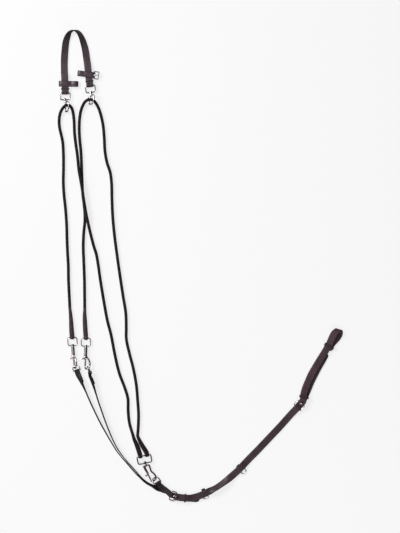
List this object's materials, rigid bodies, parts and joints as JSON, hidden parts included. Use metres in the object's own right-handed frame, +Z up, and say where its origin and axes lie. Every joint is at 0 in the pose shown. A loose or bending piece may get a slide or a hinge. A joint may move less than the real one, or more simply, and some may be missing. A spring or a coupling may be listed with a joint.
{
  "type": "gogue",
  "caption": "Leather and cord schooling gogue laid flat, with a poll strap, cords running through swivel snaps, a forked chest strap with buckles and dees, and a looped girth strap.",
  "frame": {"origin": "on the floor under the middle of the laid-out leather and metal parts", "axes": "+Z up from the floor, +Y from the girth end towards the poll strap, +X towards the side where the girth strap lies"},
  "size_m": [0.8156, 1.3515, 0.0249],
  "materials": {
    "leather": "satin, waxed dark brown bridle leather with stitched edges",
    "cord": "braided round cord, dull dark brown",
    "nickel": "bright nickel plate",
    "spring_steel": "drawn wire"
  },
  "bodies": {
    "root": {"poll_strap": "leather", "poll_keeper_left": "leather", "poll_keeper_right": "leather", "browband_loop_left": "leather", "browband_loop_right": "leather", "poll_snap_left_eye": "nickel", "poll_snap_right_eye": "nickel", "cord_left": "cord", "cord_right": "cord", "splice_fork_left": "cord", "splice_fork_right": "cord", "splice_chest_left": "cord", "splice_chest_right": "cord", "fork_snap_left_eye": "nickel", "fork_snap_right_eye": "nickel", "fork_strap_left": "leather", "fork_strap_right": "leather", "chest_snap_eye": "nickel", "yoke_strap": "leather", "junction_buckle_frame": "nickel", "junction_keeper": "leather", "chest_strap": "leather", "chest_dee_front_tab": "leather", "chest_dee_rear_tab": "leather", "girth_strap": "leather", "girth_buckle_frame": "nickel", "girth_keeper_small": "leather"},
    "poll_snap_left_body": {"poll_snap_left_hook": "nickel", "poll_snap_left_spring": "spring_steel"},
    "poll_snap_left_thumb_bolt": {"poll_snap_left_bolt": "nickel"},
    "poll_snap_right_body": {"poll_snap_right_hook": "nickel", "poll_snap_right_spring": "spring_steel"},
    "poll_snap_right_thumb_bolt": {"poll_snap_right_bolt": "nickel"},
    "fork_snap_left_body": {"fork_snap_left_hook": "nickel", "fork_snap_left_spring": "spring_steel"},
    "fork_snap_left_thumb_bolt": {"fork_snap_left_bolt": "nickel"},
    "fork_snap_right_body": {"fork_snap_right_hook": "nickel", "fork_snap_right_spring": "spring_steel"},
    "fork_snap_right_thumb_bolt": {"fork_snap_right_bolt": "nickel"},
    "chest_snap_body": {"chest_snap_hook": "nickel", "chest_snap_spring": "spring_steel"},
    "chest_snap_thumb_bolt": {"chest_snap_bolt": "nickel"},
    "junction_tongue": {"junction_buckle_tongue": "nickel"},
    "girth_tongue": {"girth_buckle_tongue": "nickel"},
    "browband_frame": {"browband_buckle_frame": "nickel"},
    "browband_tongue": {"browband_buckle_tongue": "nickel"},
    "chest_dee_front_swing": {"chest_dee_front": "nickel"},
    "chest_dee_rear_swing": {"chest_dee_rear": "nickel"},
    "fork_dee_left_swing": {"fork_dee_left": "nickel"},
    "fork_dee_right_swing": {"fork_dee_right": "nickel"},
    "chest_ring_swing": {"chest_ring": "nickel"},
    "girth_keeper_slider": {"girth_keeper": "leather"}
  },
  "joints": [
    {"name": "poll_snap_left_swivel", "type": "hinge", "parent": "root", "child": "poll_snap_left_body", "pos_m": [-0.38766, 0.47565, 0.0066], "axis": [-0.04, 0.999, -0.02], "range_deg": [-30, 10]},
    {"name": "poll_snap_left_bolt_slide", "type": "slide", "parent": "poll_snap_left_body", "child": "poll_snap_left_thumb_bolt", "axis": [-0.04, 0.999, -0.02], "range_m": [0, 0.0032], "stiffness_N_per_m": 250, "springref_m": -0.003},
    {"name": "poll_snap_right_swivel", "type": "hinge", "parent": "root", "child": "poll_snap_right_body", "pos_m": [-0.31421, 0.49669, 0.00668], "axis": [0.1386, 0.9901, -0.02], "range_deg": [-30, 3]},
    {"name": "poll_snap_right_bolt_slide", "type": "slide", "parent": "poll_snap_right_body", "child": "poll_snap_right_thumb_bolt", "axis": [0.1386, 0.9901, -0.02], "range_m": [0, 0.0032], "stiffness_N_per_m": 250, "springref_m": -0.003},
    {"name": "fork_snap_left_swivel", "type": "hinge", "parent": "root", "child": "fork_snap_left_body", "pos_m": [-0.36619, -0.22693, 0.0057], "axis": [-0.0747, 0.9964, -0.04], "range_deg": [-20, 2]},
    {"name": "fork_snap_left_bolt_slide", "type": "slide", "parent": "fork_snap_left_body", "child": "fork_snap_left_thumb_bolt", "axis": [-0.0747, 0.9964, -0.04], "range_m": [0, 0.009], "stiffness_N_per_m": 250, "springref_m": -0.003},
    {"name": "fork_snap_right_swivel", "type": "hinge", "parent": "root", "child": "fork_snap_right_body", "pos_m": [-0.32865, -0.22898, 0.0057], "axis": [0.0299, 0.996, -0.0847], "range_deg": [-10, 10]},
    {"name": "fork_snap_right_bolt_slide", "type": "slide", "parent": "fork_snap_right_body", "child": "fork_snap_right_thumb_bolt", "axis": [0.0299, 0.996, -0.0847], "range_m": [0, 0.009], "stiffness_N_per_m": 250, "springref_m": -0.003},
    {"name": "chest_snap_swivel", "type": "hinge", "parent": "root", "child": "chest_snap_body", "pos_m": [-0.15879, -0.5631, 0.0057], "axis": [-0.4524, 0.8878, -0.0847], "range_deg": [0, 2]},
    {"name": "chest_snap_bolt_slide", "type": "slide", "parent": "chest_snap_body", "child": "chest_snap_thumb_bolt", "axis": [-0.4524, 0.8878, -0.0847], "range_m": [0, 0.0075], "stiffness_N_per_m": 250, "springref_m": -0.003},
    {"name": "junction_tongue_turn", "type": "hinge", "parent": "root", "child": "junction_tongue", "pos_m": [-0.07171, -0.65872, 0.00842], "axis": [0.2272, 0.9738, 0], "range_deg": [-3, 0]},
    {"name": "girth_tongue_turn", "type": "hinge", "parent": "root", "child": "girth_tongue", "pos_m": [0.28669, -0.39245, 0.00839], "axis": [-0.7342, 0.6789, 0], "range_deg": [-3, 1]},
    {"name": "browband_frame_turn", "type": "hinge", "parent": "root", "child": "browband_frame", "pos_m": [-0.30631, 0.54606, 0.0072], "axis": [-0.1191, -0.9929, 0], "range_deg": [-60, 15]},
    {"name": "browband_tongue_turn", "type": "hinge", "parent": "browband_frame", "child": "browband_tongue", "pos_m": [-0.30631, 0.54606, 0.0072], "axis": [-0.1191, -0.9929, 0], "range_deg": [0, 45]},
    {"name": "chest_dee_front_swing_turn", "type": "hinge", "parent": "root", "child": "chest_dee_front_swing", "pos_m": [0.01112, -0.65192, 0.00315], "axis": [0.9507, 0.3102, 0], "range_deg": [0, 90]},
    {"name": "chest_dee_rear_swing_turn", "type": "hinge", "parent": "root", "child": "chest_dee_rear_swing", "pos_m": [0.11626, -0.58078, 0.00315], "axis": [0.6816, 0.7317, 0], "range_deg": [0, 90]},
    {"name": "fork_dee_left_swing_turn", "type": "hinge", "parent": "root", "child": "fork_dee_left_swing", "pos_m": [-0.3539, -0.29897, 0.0056], "axis": [0.9604, 0.2788, 0], "range_deg": [-3, 0]},
    {"name": "fork_dee_right_swing_turn", "type": "hinge", "parent": "root", "child": "fork_dee_right_swing", "pos_m": [-0.31653, -0.30222, 0.01171], "axis": [0.2796, -0.1421, 0.9495], "range_deg": [-2, 8]},
    {"name": "chest_ring_swing_turn", "type": "hinge", "parent": "root", "child": "chest_ring_swing", "pos_m": [-0.12245, -0.61989, 0.01064], "axis": [0.711, 0.4176, -0.5657], "range_deg": [0, 5]},
    {"name": "girth_keeper_slide", "type": "slide", "parent": "root", "child": "girth_keeper_slider", "axis": [-0.4885, -0.8726, 0], "range_m": [-0.002, 0.015]}
  ]
}
